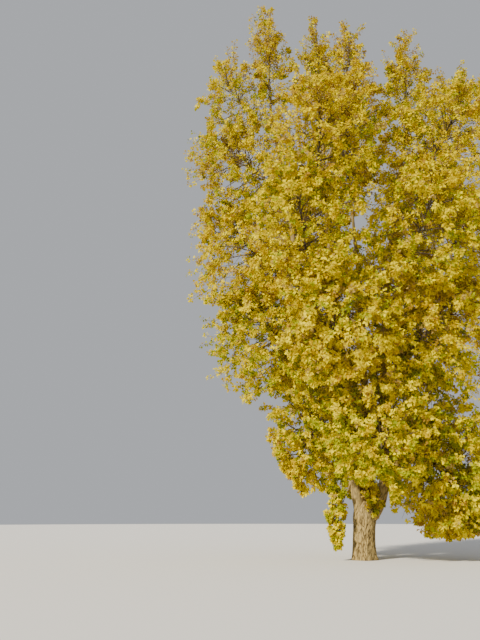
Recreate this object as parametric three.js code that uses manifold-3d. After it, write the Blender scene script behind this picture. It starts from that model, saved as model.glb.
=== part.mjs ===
// A broad upright poplar in autumn leaf, at its real size, in millimetres with +Z up.
// The origin is the middle of the flat cut under the trunk, at ground level. The tree is
// seen from -Y, with +X to the right. The trunk forks low into four leaders. Boughs leave
// the leaders, and each leader and bough ends in one mass of foliage. A mass keeps to its
// own space: one stem, side twigs by a seeded rule, and leaf sprays fused to them.
import * as THREE from "three";
import { mergeVertices } from "three/addons/utils/BufferGeometryUtils.js";
import Module from "manifold-3d";

const wasm = await Module();
wasm.setup();
const { Manifold, Mesh } = wasm;

// Trunk
const FORK_HEIGHT = 1800;
const TRUNK_RADIUS = 385;
const FOOT_FLARE = 0.2;
const FLARE_HEIGHT = 260;
const ROOT_LOBES = 5;
const LOBE_DEPTH = 0.07;
const CROTCH_SWELL = 0.1;
const DOME_SHARE = 0.2;
const TRUNK_LEAN = 150;
const TRUNK_SIDES = 16;
const TRUNK_RINGS = 10;

// Leaders: where each leaves the trunk's axis, its way up, and its radius at the fork
const LEADER_ROOT_HEIGHT = 1280;
const LEADER_ROOT_OFFSET = 170;
const LEADER_TIP_RADIUS = 55;
const LEADER_SIDES = 8;
const LEADER_RINGS = 9;
const LEADERS = {
  left: { turn: 190, radius: 195, way: [[-170, -60, 2150], [-420, -120, 3500], [-1750, -380, 9000], [-3000, -620, 17300]] },
  centre: { turn: 105, radius: 205, way: [[-230, 420, 3900], [-620, 500, 10500], [-780, 480, 17900]] },
  right: { turn: 350, radius: 190, way: [[730, -60, 2080], [890, -90, 3100], [1330, -120, 9500], [2700, 200, 16900]] },
  back: { turn: 60, radius: 175, way: [[420, 760, 3400], [760, 1900, 9500], [700, 2400, 15300]] },
};

// Masses of foliage, tier by tier. A tier is a ring round the crown's axis: its first turn
// and count, the ring's half sizes across and in depth, its height at front and back, what
// the sides stand above that, what the left side stands above the middle and the right
// below it, the half width and half height of each space, how pointed the space is towards
// its top, and how far its bough climbs for each metre it runs out.
const CROWN_MIDDLE = [100, 0];
const TIERS = {
  lower: { count: 5, turn: 180, ring: [3500, 3100], height: 7800, lift: 400, half: [2250, 2550], point: 0.05, climb: 0.6 },
  middle: { count: 6, turn: 180, ring: [4250, 3750], height: 11300, lift: 300, half: [2300, 2650], point: 0.1, climb: 0.75 },
  upper: { count: 5, turn: 180, ring: [4150, 3600], height: 14200, lift: 1200, half: [2450, 2700], point: 0.15, climb: 0.9 },
  shoulder: { count: 3, turn: 180, step: 90, ring: [4700, 2300], height: 16200, lift: 2150, tilt: 350, half: [1750, 2300], point: 0.25, climb: 1.1 },
};
// Masses that stand alone: the middle of each, its half sizes, its point, and its bough
const SINGLES = {
  low_left: { middle: [-1850, -100, 4600], half: [1800, 2600], point: 0, climb: 0, hangs: true },
  low_front: { middle: [250, -2100, 4650], half: [2200, 2900], point: 0, climb: 0.1, hangs: true },
  low_right: { middle: [2900, -600, 3400], half: [2350, 2800], point: 0.15, climb: -0.25, hangs: true },
  low_back: { middle: [300, 2500, 4400], half: [2250, 2400], point: 0, climb: 0.2 },
  low_hanging: { middle: [-1000, -480, 1500], half: [470, 1300], point: -0.3, climb: -1.2, hangs: true },
  spire_left: { middle: [-3100, -650, 20200], half: [1250, 2900], point: 0.7, leader: "left" },
  spire_centre: { middle: [-850, 500, 20600], half: [1250, 2900], point: 0.7, leader: "centre" },
  spire_right: { middle: [3000, 200, 19200], half: [1600, 2900], point: 0.6, leader: "right" },
  spire_back: { middle: [700, 2700, 18200], half: [2250, 2900], point: 0.3, leader: "back" },
  spire_front: { middle: [300, -900, 19500], half: [1050, 2800], point: 0.5, climb: 2.2 },
};

// Boughs
const BOUGH_SIDES = 6;
const BOUGH_RINGS = 3;
const BOUGH_TIP_SHARE = 0.6;
const BOUGH_RADIUS_SHARE = 0.046;
const BOUGH_TO_LEADER = 0.72;
const ENTRY_SHARE = 0.62;
const LEAST_START_HEIGHT = 2650;

// Twigs and leaf sprays
const SEED = 20044;
const TWIG_SIDES = 3;
const STEM_RINGS = 3;
const STEM_TIP_RADIUS = 28;
const STEM_SPREAD = 0.6;
const STEM_TIP_ROOM = 0.7;
const TARGETS_PER_SIZE = 2.9;
const LEAST_TARGETS = 9;
const TWIG_RADIUS = 30;
const TWIG_TIP_RADIUS = 24;
const LEAST_TWIG = 0.3;
const LEAST_BARE_TWIG = 0.5;
const SIDE_LEAF_PLACE = 0.45;
const TIP_LEAF_SHARE = 0.9;
const LEAF_LENGTH = 1850;
const LEAF_TO_MASS = 0.84;
const LEAF_WIDTH = 0.74;
const LEAF_THICKNESS = 0.03;
const LEAF_WIDEST = 0.45;
const LEAF_SINK = 22;
const LEAST_LEAF = 0.4;
const LEAF_TRIES = [1, 0.95, 0.9, 0.82, 0.74, 0.66, 0.58, 0.5];
const OUTWARD_FACE = 0.35;
const GOLDEN_TURN = Math.PI * (3 - Math.sqrt(5));

// Faces flatter than this to each other become one
const FLATNESS = 0.2;

// Clearances
const JOINT_GAP = 0.3;
const SPACE_GAP = 12;
const LIMB_GAP = 15;
const LEAF_GAP = 8;

const up = new THREE.Vector3(0, 0, 1);
const metre = (list) => new THREE.Vector3(...list);
const radians = THREE.MathUtils.degToRad;

// A small seeded generator: numbers from 0 to 1 in a fixed order.
function randomFrom(seed) {
  let state = seed >>> 0;
  return () => {
    state = (Math.imul(state, 1664525) + 1013904223) >>> 0;
    return state / 4294967296;
  };
}

// The closed geometry as a solid that can be joined and cut.
function solidOf(geometry) {
  const bare = geometry.index ? geometry.toNonIndexed() : geometry.clone();
  bare.deleteAttribute("normal");
  bare.deleteAttribute("uv");
  const merged = mergeVertices(bare, 1e-3);
  const mesh = new Mesh({
    numProp: 3,
    vertProperties: merged.attributes.position.array,
    triVerts: new Uint32Array(merged.index.array),
  });
  return new Manifold(mesh).simplify(FLATNESS);
}

// The solid's triangles as a three.js geometry.
function geometryOf(solid) {
  const mesh = solid.getMesh();
  const points = new Float32Array(mesh.numVert * 3);
  for (let i = 0; i < mesh.numVert; i++) {
    points.set(mesh.vertProperties.subarray(i * mesh.numProp, i * mesh.numProp + 3), i * 3);
  }
  const geometry = new THREE.BufferGeometry();
  geometry.setAttribute("position", new THREE.BufferAttribute(points, 3));
  geometry.setIndex(new THREE.BufferAttribute(mesh.triVerts, 1));
  return geometry.toNonIndexed();
}

// The largest of a solid's separate bodies.
function largest(solid) {
  const bodies = solid.decompose();
  return bodies.reduce((best, body) => (body.volume() > best.volume() ? body : best));
}

// A cylinder bent along a curve, with its radius given at each share of the way and turn.
// The margin makes it larger all round, at its ends too.
function limb(curve, radiusAt, sides, rings, margin = 0) {
  const geometry = new THREE.CylinderGeometry(1, 1, 1, sides, rings);
  const frames = curve.computeFrenetFrames(rings, false);
  const points = geometry.attributes.position;
  for (let i = 0; i < points.count; i++) {
    const share = Math.min(1, Math.max(0, points.getY(i) + 0.5));
    const ring = Math.round(share * rings);
    const across = points.getX(i);
    const along = points.getZ(i);
    const radius = radiusAt(ring / rings, Math.atan2(across, along)) + margin;
    const place = curve.getPointAt(ring / rings);
    if (ring === 0) place.addScaledVector(frames.tangents[ring], -margin);
    if (ring === rings) place.addScaledVector(frames.tangents[ring], margin);
    place.addScaledVector(frames.binormals[ring], across * radius);
    place.addScaledVector(frames.normals[ring], along * radius);
    points.setXYZ(i, place.x, place.y, place.z);
  }
  return solidOf(geometry);
}

const taper = (from, to) => (share) => THREE.MathUtils.lerp(from, to, share);

// The trunk: lobed root flare, even taper, a swelling under the fork and a domed top.
function trunkRadius(share, turn) {
  const height = share * FORK_HEIGHT;
  const flare = Math.exp(-height / FLARE_HEIGHT);
  const lobes = 1 + LOBE_DEPTH * flare * Math.cos(ROOT_LOBES * turn);
  const swell = CROTCH_SWELL * THREE.MathUtils.smoothstep(share, 0.55, 1 - DOME_SHARE / 2);
  const dome = Math.max(0, (share - 1 + DOME_SHARE) / DOME_SHARE);
  return TRUNK_RADIUS * lobes * (1 + FOOT_FLARE * flare + swell) * Math.sqrt(1 - 0.8 * dome * dome);
}

function trunkCurve() {
  const top = new THREE.Vector3(TRUNK_LEAN, 0, FORK_HEIGHT);
  const middle = new THREE.Vector3(0, 0, FORK_HEIGHT / 2);
  return new THREE.QuadraticBezierCurve3(new THREE.Vector3(), middle, top);
}

function leaderCurve(leader) {
  const turn = radians(leader.turn);
  const root = new THREE.Vector3(
    TRUNK_LEAN + LEADER_ROOT_OFFSET * Math.cos(turn),
    LEADER_ROOT_OFFSET * Math.sin(turn),
    LEADER_ROOT_HEIGHT,
  );
  return new THREE.CatmullRomCurve3([root, ...leader.way.map(metre)], false, "centripetal");
}

// Thickest at the fork, then an even taper to the tip.
function leaderRadius(leader) {
  return (share) => THREE.MathUtils.lerp(leader.radius, LEADER_TIP_RADIUS, Math.pow(share, 0.8));
}

// Every mass as { name, middle, half, point, climb or leader }.
function allMasses() {
  const masses = [];
  for (const [tierName, tier] of Object.entries(TIERS)) {
    const step = tier.step ?? 360 / tier.count;
    for (let i = 0; i < tier.count; i++) {
      const turn = radians(tier.turn + step * i);
      const middle = new THREE.Vector3(
        CROWN_MIDDLE[0] + tier.ring[0] * Math.cos(turn),
        CROWN_MIDDLE[1] + tier.ring[1] * Math.sin(turn),
        tier.height + tier.lift * Math.abs(Math.cos(turn)) - (tier.tilt ?? 0) * Math.cos(turn),
      );
      masses.push({ ...tier, name: `${tierName}_${i + 1}`, middle });
    }
  }
  for (const [name, single] of Object.entries(SINGLES)) {
    masses.push({ ...single, name, middle: metre(single.middle) });
  }
  return masses;
}

// The half width of a mass's space in a direction, for sharing out the room between two.
function reachTowards(mass, direction) {
  const level = Math.hypot(direction.x, direction.y) / mass.half[0];
  const upright = direction.z / mass.half[1];
  return 1 / Math.hypot(level, upright);
}

// One plane between each two masses, so that every space is convex and no two meet.
function shareOutRoom(masses) {
  for (const mass of masses) {
    mass.walls = [];
    for (const other of masses) {
      if (other === mass) continue;
      const between = other.middle.clone().sub(mass.middle);
      const direction = between.clone().normalize();
      const mine = reachTowards(mass, direction);
      const share = mine / (mine + reachTowards(other, direction));
      const wall = mass.middle.clone().addScaledVector(between, share);
      mass.walls.push({ direction, limit: wall.dot(direction) - SPACE_GAP });
    }
  }
}

// Whether a point lies in a mass's space: a pointed ellipsoid, cut by its walls.
function inside(mass, point) {
  const offset = point.clone().sub(mass.middle);
  const level = offset.z / mass.half[1];
  if (Math.abs(level) >= 1) return false;
  const width = mass.half[0] * Math.sqrt(1 - level * level) * (1 - mass.point * level);
  if (Math.hypot(offset.x, offset.y) > width) return false;
  return mass.walls.every((wall) => wall.direction.dot(point) <= wall.limit);
}

// How far a straight line runs from a point to the edge of the mass's space.
function distanceToEdge(mass, from, direction) {
  let near = 0;
  let far = 2 * Math.max(...mass.half);
  for (let i = 0; i < 16; i++) {
    const middle = (near + far) / 2;
    const point = from.clone().addScaledVector(direction, middle);
    if (inside(mass, point)) near = middle;
    else far = middle;
  }
  return near;
}

// The point of a rising curve at a height.
function pointAtHeight(curve, height) {
  let low = 0;
  let high = 1;
  for (let i = 0; i < 20; i++) {
    const middle = (low + high) / 2;
    if (curve.getPointAt(middle).z < height) low = middle;
    else high = middle;
  }
  return { share: low, place: curve.getPointAt(low) };
}

// The bough that carries a mass: from the leader nearest to it, out and up to its space.
function boughFor(mass, leaders) {
  const starts = leaders.map((leader) => {
    const level = pointAtHeight(leader.curve, mass.middle.z).place;
    const run = Math.hypot(mass.middle.x - level.x, mass.middle.y - level.y);
    const height = Math.max(LEAST_START_HEIGHT, mass.middle.z - mass.climb * run);
    return { leader, run, ...pointAtHeight(leader.curve, height) };
  });
  const start = starts.reduce((best, one) => (one.run < best.run ? one : best));
  const between = mass.middle.clone().sub(start.place);
  const inwards = between.clone().normalize().negate();
  const back = Math.min(
    distanceToEdge(mass, mass.middle, inwards),
    ENTRY_SHARE * between.length(),
  );
  const entry = mass.middle.clone().addScaledVector(inwards, back);
  const run = entry.clone().sub(start.place);
  const bend = start.place.clone();
  bend.x += run.x * 0.55;
  bend.y += run.y * 0.55;
  bend.z += run.z * 0.4;
  const room = leaderRadius(start.leader)(start.share) * BOUGH_TO_LEADER;
  return {
    curve: new THREE.QuadraticBezierCurve3(start.place, bend, entry),
    radius: Math.min(room, BOUGH_RADIUS_SHARE * mass.half[0]),
  };
}

// One leaf spray: a thin eight-sided blade, widest near its root.
function leafSpray(root, direction, face, length) {
  const geometry = new THREE.OctahedronGeometry(1);
  const points = geometry.attributes.position;
  const side = new THREE.Vector3().crossVectors(face, direction).normalize();
  const normal = new THREE.Vector3().crossVectors(direction, side);
  for (let i = 0; i < points.count; i++) {
    const end = Math.abs(points.getX(i)) > 0.5;
    const along = end ? (points.getX(i) + 1) / 2 : LEAF_WIDEST;
    const place = root.clone().addScaledVector(direction, along * length);
    place.addScaledVector(side, (points.getY(i) * length * LEAF_WIDTH) / 2);
    place.addScaledVector(normal, (points.getZ(i) * length * LEAF_THICKNESS) / 2);
    points.setXYZ(i, place.x, place.y, place.z);
  }
  return { solid: solidOf(geometry), corners: cornersOf(points) };
}

function cornersOf(points) {
  const corners = [];
  for (let i = 0; i < points.count; i++) {
    corners.push(new THREE.Vector3().fromBufferAttribute(points, i));
  }
  return corners;
}

// The way a blade faces: square to its length, more often out of the crown than along it.
function faceOf(root, direction, random) {
  const face = new THREE.Vector3(root.x - CROWN_MIDDLE[0], root.y - CROWN_MIDDLE[1], 0);
  face.normalize().multiplyScalar(OUTWARD_FACE);
  face.add(new THREE.Vector3(random() - 0.5, random() - 0.5, random() - 0.5));
  return face.addScaledVector(direction, -face.dot(direction)).normalize();
}

// Even directions over a sphere, turned about the upright.
function evenDirection(i, count, firstTurn) {
  const height = 1 - (2 * i + 1) / count;
  const level = Math.sqrt(1 - height * height);
  const turn = firstTurn + GOLDEN_TURN * i;
  return new THREE.Vector3(level * Math.cos(turn), level * Math.sin(turn), height);
}

// The point where a line from the middle of a mass meets the edge of its space.
function edgePoint(mass, direction) {
  const scaled = direction.clone();
  scaled.x *= mass.half[0];
  scaled.y *= mass.half[0];
  scaled.z *= mass.half[1];
  scaled.normalize();
  return mass.middle.clone().addScaledVector(scaled, distanceToEdge(mass, mass.middle, scaled));
}

// A mass's stem: on from the end of its bough, then bending to the far side of its space.
function stemOf(mass, carrier, leafLength) {
  const entry = carrier.curve.getPointAt(1);
  const arrival = carrier.curve.getTangentAt(1);
  const heading = new THREE.Vector3(mass.middle.x - CROWN_MIDDLE[0], mass.middle.y - CROWN_MIDDLE[1], 0);
  heading.normalize().multiplyScalar(mass.leader ? 0 : STEM_SPREAD);
  heading.z = mass.hangs ? -1 : 1;
  heading.normalize();
  const tip = edgePoint(mass, heading).addScaledVector(heading, -STEM_TIP_ROOM * leafLength);
  const start = entry.addScaledVector(arrival, JOINT_GAP);
  const lead = start.clone().addScaledVector(arrival, 0.25 * start.distanceTo(tip));
  const bend = mass.middle.clone().lerp(start, 0.25);
  return { curve: new THREE.CubicBezierCurve3(start, lead, bend, tip), start, tip, heading };
}

// A point on the straight lengths between the rings of a stem.
function pointOnStem(curve, share) {
  const ring = Math.min(STEM_RINGS - 1, Math.floor(share * STEM_RINGS));
  const start = curve.getPointAt(ring / STEM_RINGS);
  return start.lerp(curve.getPointAt((ring + 1) / STEM_RINGS), share * STEM_RINGS - ring);
}

// A mass of foliage: its stem, then a twig with its tip leaf to each part of its edge, and
// then leaves along the twigs. What would leave the space, or touch a limb or another leaf
// of the mass, is left out or made smaller.
function foliage(mass, carrier, wood, random) {
  const leafLength = Math.min(LEAF_LENGTH, LEAF_TO_MASS * mass.half[0]);
  const stem = stemOf(mass, carrier, leafLength);
  const along = stem.tip.clone().sub(stem.start);
  const parts = [limb(stem.curve, taper(carrier.tipRadius, STEM_TIP_RADIUS), TWIG_SIDES, STEM_RINGS)];
  const clearOf = (solid, own) =>
    wood.minGap(solid, 2 * LIMB_GAP) > LIMB_GAP &&
    parts.every((part) => part === own || part.minGap(solid, 2 * LEAF_GAP) > LEAF_GAP);

  const addLeaf = (own, root, direction, length) => {
    for (const size of LEAF_TRIES) {
      const swing = new THREE.Vector3(random() - 0.5, random() - 0.5, random() - 0.5);
      const aim = direction.clone().addScaledVector(swing, 1.2 * (1 - size)).normalize();
      const room = distanceToEdge(mass, root, aim) - SPACE_GAP;
      if (room < LEAST_LEAF * length) continue;
      const leaf = leafSpray(root, aim, faceOf(root, aim, random), Math.min(length * size, room));
      if (!leaf.corners.every((corner) => inside(mass, corner)) || !clearOf(leaf.solid, own)) continue;
      parts.push(leaf.solid);
      return;
    }
  };

  const sunk = (end, direction) => end.clone().addScaledVector(direction, -LEAF_SINK);
  addLeaf(parts[0], sunk(stem.tip, stem.heading), stem.heading, leafLength);
  const size = (mass.half[0] * mass.half[1]) / 1e6;
  const count = Math.max(LEAST_TARGETS, Math.round(TARGETS_PER_SIZE * size));
  const outwards = Math.atan2(mass.middle.y - CROWN_MIDDLE[1], mass.middle.x - CROWN_MIDDLE[0]);
  const firstTurn = outwards - GOLDEN_TURN * Math.floor(count / 2);
  const twigs = [];
  for (let i = 0; i < count; i++) {
    const target = edgePoint(mass, evenDirection(i, count, firstTurn));
    const level = target.clone().sub(stem.start).dot(along) / along.lengthSq();
    const start = pointOnStem(stem.curve, THREE.MathUtils.clamp(0.6 * level + 0.08, 0.12, 0.9));
    const direction = target.clone().sub(start).normalize();
    const length = start.distanceTo(target) - TIP_LEAF_SHARE * leafLength;
    if (length < LEAST_TWIG * leafLength) {
      addLeaf(parts[0], start, direction, leafLength);
      continue;
    }
    const end = start.clone().addScaledVector(direction, length);
    const solid = limb(new THREE.LineCurve3(start, end), taper(TWIG_RADIUS, TWIG_TIP_RADIUS), TWIG_SIDES, 1);
    if (!clearOf(solid, parts[0])) continue;
    parts.push(solid);
    twigs.push({ solid, start, end, direction, length });
    addLeaf(solid, sunk(end, direction), direction, leafLength);
  }
  twigs.forEach((twig, i) => {
    if (twig.length < LEAST_BARE_TWIG * leafLength) return;
    const side = new THREE.Vector3().crossVectors(twig.direction, up).normalize();
    const root = twig.start.clone().lerp(twig.end, SIDE_LEAF_PLACE);
    const direction = twig.direction.clone().addScaledVector(side, i % 2 ? 1 : -1);
    addLeaf(twig.solid, root, direction.normalize(), leafLength);
  });
  return largest(Manifold.union(parts)).simplify(FLATNESS);
}

function finish(color, roughness) {
  return new THREE.MeshStandardMaterial({ color, roughness, metalness: 0 });
}

function named(name, solid, material) {
  const mesh = new THREE.Mesh(geometryOf(solid), material);
  mesh.name = name;
  return mesh;
}

function buildTree() {
  const bark = finish(0x8d7a5c, 0.95);
  const leaves = finish(0xc9a227, 0.8);
  const tree = new THREE.Group();
  const grown = [];
  let limbs = [];

  const addLimb = (name, curve, radiusAt, sides, rings) => {
    let solid = limb(curve, radiusAt, sides, rings);
    if (grown.length) solid = largest(solid.subtract(Manifold.union(grown)));
    grown.push(limb(curve, radiusAt, sides, rings, JOINT_GAP));
    limbs.push(solid);
    tree.add(named(name, solid, bark));
  };

  addLimb("trunk", trunkCurve(), trunkRadius, TRUNK_SIDES, TRUNK_RINGS);
  const leaders = Object.entries(LEADERS).map(([name, leader]) => {
    const curve = leaderCurve(leader);
    addLimb(`leader_${name}`, curve, leaderRadius(leader), LEADER_SIDES, LEADER_RINGS);
    return { ...leader, name, curve, tipRadius: LEADER_TIP_RADIUS };
  });

  const masses = allMasses();
  shareOutRoom(masses);
  for (const mass of masses) {
    mass.carrier = leaders.find((leader) => leader.name === mass.leader);
    if (mass.carrier) continue;
    const bough = boughFor(mass, leaders);
    const tipRadius = bough.radius * BOUGH_TIP_SHARE;
    addLimb(`bough_${mass.name}`, bough.curve, taper(bough.radius, tipRadius), BOUGH_SIDES, BOUGH_RINGS);
    mass.carrier = { curve: bough.curve, tipRadius };
  }

  const wood = Manifold.union(limbs);
  masses.forEach((mass, i) => {
    const solid = foliage(mass, mass.carrier, wood, randomFrom(SEED + 97 * i));
    tree.add(named(`foliage_${mass.name}`, solid, leaves));
  });
  return tree;
}

export default buildTree();
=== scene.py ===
"""A broad upright poplar in autumn leaf, in metres, seen from -Y with +X to the right.

The limbs follow the same named values as the frame's solids. Each mass of foliage grows again
from the end of its bough or leader by the same rule, on to finer wood: a stem, main twigs to
the edge of its space, twiglets, short shoots, and the leaves on them. The spaces are those of
the solids too, but neighbours overlap a little, the lower tiers sag, the low left mass narrows
downwards, and the low masses leave an opening in front of the fork.
"""

import math

import bpy
import numpy as np
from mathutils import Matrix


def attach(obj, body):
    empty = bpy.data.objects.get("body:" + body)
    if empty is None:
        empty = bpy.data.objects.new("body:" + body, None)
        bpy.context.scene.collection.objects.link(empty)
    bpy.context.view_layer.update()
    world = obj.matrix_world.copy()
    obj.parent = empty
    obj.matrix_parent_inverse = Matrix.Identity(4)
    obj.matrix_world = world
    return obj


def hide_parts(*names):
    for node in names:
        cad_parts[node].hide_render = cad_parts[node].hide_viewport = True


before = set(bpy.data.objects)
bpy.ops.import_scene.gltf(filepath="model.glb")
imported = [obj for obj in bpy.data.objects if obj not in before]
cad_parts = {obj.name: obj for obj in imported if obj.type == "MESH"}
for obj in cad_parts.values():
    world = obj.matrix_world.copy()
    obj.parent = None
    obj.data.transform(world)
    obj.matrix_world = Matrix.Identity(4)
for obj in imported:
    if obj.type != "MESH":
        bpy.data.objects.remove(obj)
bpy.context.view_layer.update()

# Camera: where it stands, how many degrees it looks up, and its lens
CAMERA_PLACE = (-4.38, -24.0, 1.53)
CAMERA_PITCH = 16.9
CAMERA_LENS = 36.0

# Trunk
FORK_HEIGHT = 1.8
TRUNK_RADIUS = 0.385
FOOT_FLARE = 0.2
FLARE_HEIGHT = 0.26
ROOT_LOBES = 5
LOBE_DEPTH = 0.07
CROTCH_SWELL = 0.1
SWELL_START = 0.55
DOME_SHARE = 0.2
TRUNK_LEAN = 0.15

# Leaders: the turn in degrees at which each leaves the trunk, its radius there, and its way up
LEADER_ROOT_HEIGHT = 1.28
LEADER_ROOT_OFFSET = 0.17
LEADER_TIP_RADIUS = 0.055
LEADERS = {
    "left": (190, 0.195, [(-0.17, -0.06, 2.15), (-0.42, -0.12, 3.5), (-1.75, -0.38, 9), (-3, -0.62, 17.3)]),
    "centre": (105, 0.205, [(-0.23, 0.42, 3.9), (-0.62, 0.5, 10.5), (-0.78, 0.48, 17.9)]),
    "right": (350, 0.19, [(0.73, -0.06, 2.08), (0.89, -0.09, 3.1), (1.33, -0.12, 9.5), (2.7, 0.2, 16.9)]),
    "back": (60, 0.175, [(0.42, 0.76, 3.4), (0.76, 1.9, 9.5), (0.7, 2.4, 15.3)]),
}

# Masses of foliage: tiers in a ring round the crown's axis, and those that stand alone. Each has
# its half width and half height, how far it narrows upwards, and how steeply its bough climbs or
# which leader carries it. In some the lower half sags, the twigs are more or fewer (full), the
# sprays hang, the tints are greener, no wands grow, or every leaf is an outer one (alone).
CROWN_MIDDLE = (0.1, 0.0)
FIRST_TURN = 180
TIERS = {
    "lower": dict(
        count=5, ring=(3.5, 3.1), height=7.8, lift=0.4, half=(2.25, 2.55), point=0.05, climb=0.6,
        sag=0.45, full=1.2,
    ),
    "middle": dict(
        count=6, ring=(4.25, 3.75), height=11.3, lift=0.3, half=(2.3, 2.65), point=0.1, climb=0.75, sag=0.2,
    ),
    "upper": dict(count=5, ring=(4.15, 3.6), height=14.2, lift=1.2, half=(2.45, 2.7), point=0.15, climb=0.9),
    "shoulder": dict(
        count=3, step=90, ring=(4.7, 2.3), height=16.2, lift=2.15, tilt=0.35, half=(1.75, 2.3), point=0.25,
        climb=1.1,
    ),
}
SINGLES = {
    "low_left": dict(
        middle=(-1.85, -0.1, 4.6), half=(1.8, 2.6), point=-0.45, climb=0, hangs=True, full=1.25, wands=False,
    ),
    "low_front": dict(
        middle=(0.25, -2.1, 4.65), half=(2.2, 2.9), point=0, climb=0.1, hangs=True, full=1.2, wands=False,
    ),
    "low_right": dict(
        middle=(2.9, -0.6, 3.4), half=(2.35, 2.8), point=0.15, climb=-0.25, hangs=True, full=2.2,
    ),
    "low_back": dict(middle=(0.3, 2.5, 4.4), half=(2.25, 2.4), point=0, climb=0.2, full=1.3),
    "low_hanging": dict(
        middle=(-1.0, -0.48, 1.5), half=(0.47, 1.3), point=-0.3, climb=-1.2, hangs=True, full=1.6,
        wands=False, alone=True, greener=1.3,
    ),
    "spire_left": dict(middle=(-3.1, -0.65, 20.2), half=(1.25, 2.9), point=0.7, leader="left", full=0.85),
    "spire_centre": dict(middle=(-0.85, 0.5, 20.6), half=(1.25, 2.9), point=0.7, leader="centre", full=0.85),
    "spire_right": dict(middle=(3.0, 0.2, 19.2), half=(1.6, 2.9), point=0.6, leader="right"),
    "spire_back": dict(middle=(0.7, 2.7, 18.2), half=(2.25, 2.9), point=0.3, leader="back", full=0.85),
    "spire_front": dict(middle=(0.3, -0.9, 19.5), half=(1.05, 2.8), point=0.5, climb=2.2),
}
SPACE_GAP = 0.012
OVERLAP = 0.2

# Boughs
BOUGH_TIP_SHARE = 0.6
BOUGH_RADIUS_SHARE = 0.046
BOUGH_TO_LEADER = 0.72
BOUGH_BEND = (0.55, 0.55, 0.4)
ENTRY_SHARE = 0.62
LEAST_START_HEIGHT = 2.65

# The opening that the low sprays leave in front of the fork, with a ragged top edge
OPENING_MIDDLE = 0.25
OPENING_HALF = 0.68
OPENING_SLANT = 0.19
OPENING_TOP = 2.72
OPENING_SLOPE = 0.05
OPENING_BACK = 0.2
OPENING_WAVES = ((0.13, 7, 1), (0.09, 19, 0))

# Stems and main twigs
SEED = 20350
STEM_SPREAD = 0.6
STEM_BEND = 0.25
STEM_TIP_RADIUS = 0.014
STEM_PARTS = ((0.04, 0.5), (0.5, 1))
MAIN_TWIGS_PER_SIZE = 6.5
LEAST_MAIN_TWIGS = 12
LEAST_MAIN_TWIG_LENGTH = 0.3
MAIN_TWIG_POINTS = 7
MAIN_TWIG_ROOTS = (0.06, 0.97)
MAIN_TWIG_SWAY = 0.08
MAIN_TWIG_BEND = 0.16
LEAST_REACH = 0.72
EDGE_ROOM = 0.1
TWIG_RADII = {"main": (0.021, 0.007), "twiglet": (0.008, 0.004), "shoot": (0.0035, 0.002)}

# Twigs on the sides of others: how many on each, which part of it they grow on, the angle
# between, how long they are by their parent's length, their limits, the points along each, and
# where its leaves begin and how many they are. Those outside the masses also say how far they
# rise, and how much higher in the crown their tints are from.
TWIGLETS = dict(
    count=6, span=(0.25, 0.97), angle=52, of_parent=0.45, longest=0.75, least=0.12, points=4, leaves=(0.3, 10)
)
SHOOTS = dict(
    count=6, span=(0.22, 1), angle=62, of_parent=0.42, longest=0.2, least=0.04, points=2, leaves=(0.15, 7)
)
SHOOTS_BETWEEN = dict(SHOOTS, span=(0.3, 1), angle=60, rise=0.1)
SPROUT_SHOOTS = dict(
    SHOOTS, count=4, span=(0.6, 1), angle=60, of_parent=0.6, longest=0.12, least=0.03, leaves=(0.2, 7),
    rise=-0.4, tint_rise=15,
)
WAND_SHOOTS = dict(
    SHOOTS, count=12, span=(0.35, 1), angle=45, of_parent=0.16, longest=0.14, least=0.03, leaves=(0.3, 4),
    rise=0.4, tint_rise=3,
)
SIDE_WAND_SHOOTS = dict(WAND_SHOOTS, count=7, span=(0.72, 1), longest=0.16, rise=0.3, tint_rise=0)

# How far the sprays rise by their height in the crown, and how many shoots are in leaf
HANGING_RISE = -0.28
RISE_HEIGHTS = (5, 11, 18)
RISES = (-0.35, -0.1, 0.42)
SHOOT_SHARE = 0.98
LEAFINESS_BY_DEPTH = (0.3, 1.4)
LEAFINESS_AHEAD = (1.2, 1.3)
CORE_LEAFINESS = 0.3
SPIRE_CORE_LEAFINESS = 0.8
INNER_LEAFINESS = 0.4
TOP_THINNING = 0.8
THIN_ABOVE = 17.5

# Twiglets straight from the limbs, how many a metre of limb gets, and how far twigs keep away
LIMB_TWIGLETS = 4.8
LIMB_TWIGLET_LENGTHS = (0.35, 0.9)
LOWEST_LIMB_TWIGLET = 4.2
TWIGLET_ROOM = 0.08
SHOOT_ROOM = 0.1

# Wands, the thin shoots that reach a little beyond the masses: upright ones from those at the
# top, and others from those round the crown, outwards and a little up
TOP_WANDS = dict(count=11, roots=(0.4, 0.98), spread=0.3, reach=0.55, points=7, shoots=WAND_SHOOTS)
SIDE_WANDS = dict(count=24, roots=(0.2, 0.98), spread=0.5, reach=0.38, points=4, shoots=SIDE_WAND_SHOOTS)
SIDE_WAND_CLIMB = 0.3
LEAST_WAND_REACH = 0.05
WAND_SWAY = 0.06
WAND_LIMITS = np.array([6.54, 5.79, 23.9])

# Sprouts between the leaders just above the fork, and on the trunk's right shoulder
SPROUTS = 16
SPROUT_HEIGHTS = (1.75, 2.8)
SPROUT_SHARES = (0.2, 0.8)
SPROUT_REACHES = ((-0.02, -0.3, -0.1), (0.02, 0.0, 0.1))
SPROUT_FOOT = (0, 0, 0.12)
SPROUT_SAG = (0, -0.05, -0.08)
SHOULDER_SPROUTS = 5
SHOULDER_PLACE = (0.56, -0.12, 1.88)
SHOULDER_REACHES = ((-0.2, -0.3, -0.3), (0.14, -0.12, 0.06))
SHOULDER_ARCH = (0, -0.06, 0.08)

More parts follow.
